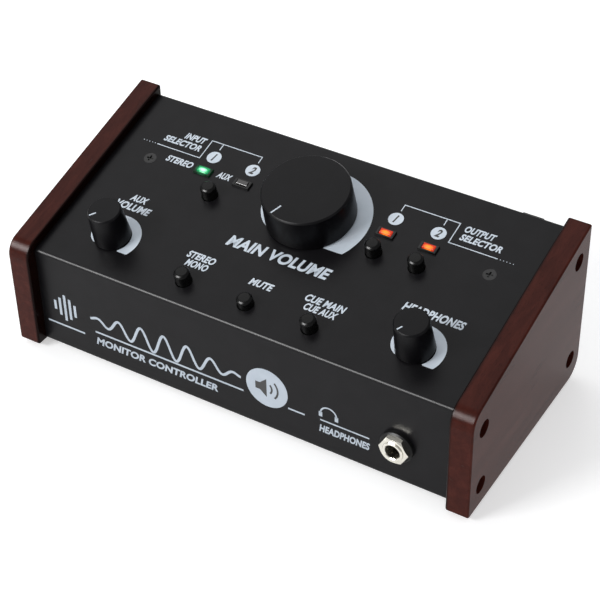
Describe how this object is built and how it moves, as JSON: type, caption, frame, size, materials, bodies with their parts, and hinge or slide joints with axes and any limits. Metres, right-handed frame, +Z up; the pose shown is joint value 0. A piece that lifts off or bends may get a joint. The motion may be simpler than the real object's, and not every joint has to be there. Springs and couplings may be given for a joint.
{
  "type": "desktop monitor controller",
  "caption": "Wedge-shaped desktop monitor controller with wooden end cheeks, rotary volume knobs, latching push buttons, indicator lamps and a front headphone socket.",
  "frame": {"origin": "middle of the bounding box's underside, on the plane that the feet stand on", "axes": "+X along the width, to the user's right; +Y from the front panel to the back; +Z up"},
  "size_m": [0.22, 0.1062, 0.0869],
  "materials": {
    "case_black": "satin powder coat",
    "cheek_wood": "dark red-brown gloss lacquer",
    "knob_black": "soft-touch matte",
    "button_black": "polished",
    "lamp_green": "lit lens",
    "lamp_smoke": "smoked lens, unlit",
    "lamp_amber": "lit lens",
    "bezel_black": "satin",
    "screw_black": "black oxide",
    "steel": "zinc plated",
    "nickel": "bright nickel",
    "socket_black": "moulded",
    "contact_gold": "gold flashed",
    "rubber_black": "matte",
    "board_green": "solder mask",
    "cable_grey": "ribbon cable",
    "can_black": "sleeved can"
  },
  "bodies": {
    "case": {"amplifier_chips": "socket_black", "aux_lamp": "lamp_smoke", "aux_mini_jack": "socket_black", "aux_pot_body": "steel", "base_clinch_nuts": "steel", "base_tray": "case_black", "board_screws": "steel", "board_standoffs": "steel", "cheek_screws": "screw_black", "combo_socket_left": "socket_black", "combo_socket_right": "socket_black", "connector_screws": "screw_black", "control_board": "board_green", "dc_inlet": "socket_black", "dc_inlet_pin": "contact_gold", "feet": "rubber_black", "filter_capacitors": "can_black", "lamp_bezels": "bezel_black", "left_cheek": "cheek_wood", "line_jack_nuts": "nickel", "line_jacks": "socket_black", "main_board": "board_green", "main_pot_body": "steel", "output_lamps": "lamp_amber", "phones_jack": "socket_black", "phones_jack_bush": "nickel", "phones_jack_collar": "socket_black", "phones_jack_nut": "nickel", "phones_pot_body": "steel", "pot_nuts": "steel", "pot_washers": "steel", "rear_board": "board_green", "ribbon_cables": "cable_grey", "right_cheek": "cheek_wood", "stereo_lamp": "lamp_green", "switch_bodies": "socket_black", "top_cover": "case_black", "top_screws": "screw_black", "underside_screws": "screw_black", "xlr_outlet_left": "socket_black", "xlr_outlet_right": "socket_black", "xlr_pins": "contact_gold"},
    "main_volume": {"main_knob": "knob_black", "main_pot_shaft": "steel"},
    "aux_volume": {"aux_knob": "knob_black", "aux_pot_shaft": "steel"},
    "phones_volume": {"phones_knob": "knob_black", "phones_pot_shaft": "steel"},
    "input_switch": {"input_button": "button_black", "input_plunger": "socket_black"},
    "output_1_switch": {"output_1_button": "button_black", "output_1_plunger": "socket_black"},
    "output_2_switch": {"output_2_button": "button_black", "output_2_plunger": "socket_black"},
    "mono_switch": {"mono_button": "button_black", "mono_plunger": "socket_black"},
    "mute_switch": {"mute_button": "button_black", "mute_plunger": "socket_black"},
    "pfl_switch": {"pfl_button": "button_black", "pfl_plunger": "socket_black"}
  },
  "joints": [
    {"name": "main_volume_turn", "type": "hinge", "parent": "case", "child": "main_volume", "pos_m": [0, 0.01382, 0.06667], "axis": [0, 0.2434, -0.9699], "range_deg": [0, 300]},
    {"name": "aux_volume_turn", "type": "hinge", "parent": "case", "child": "aux_volume", "pos_m": [-0.0722, -0.02856, 0.05604], "axis": [0, 0.2434, -0.9699], "range_deg": [0, 300]},
    {"name": "phones_volume_turn", "type": "hinge", "parent": "case", "child": "phones_volume", "pos_m": [0.0722, -0.02856, 0.05604], "axis": [0, 0.2434, -0.9699], "range_deg": [0, 300]},
    {"name": "input_press", "type": "slide", "parent": "case", "child": "input_switch", "axis": [0, 0.2434, -0.9699], "range_m": [0, 0.0018]},
    {"name": "output_1_press", "type": "slide", "parent": "case", "child": "output_1_switch", "axis": [0, 0.2434, -0.9699], "range_m": [0, 0.0018]},
    {"name": "output_2_press", "type": "slide", "parent": "case", "child": "output_2_switch", "axis": [0, 0.2434, -0.9699], "range_m": [0, 0.0018]},
    {"name": "mono_press", "type": "slide", "parent": "case", "child": "mono_switch", "axis": [0, 0.2434, -0.9699], "range_m": [0, 0.0018]},
    {"name": "mute_press", "type": "slide", "parent": "case", "child": "mute_switch", "axis": [0, 0.2434, -0.9699], "range_m": [-0.0018, 0]},
    {"name": "pfl_press", "type": "slide", "parent": "case", "child": "pfl_switch", "axis": [0, 0.2434, -0.9699], "range_m": [0, 0.0018]}
  ]
}
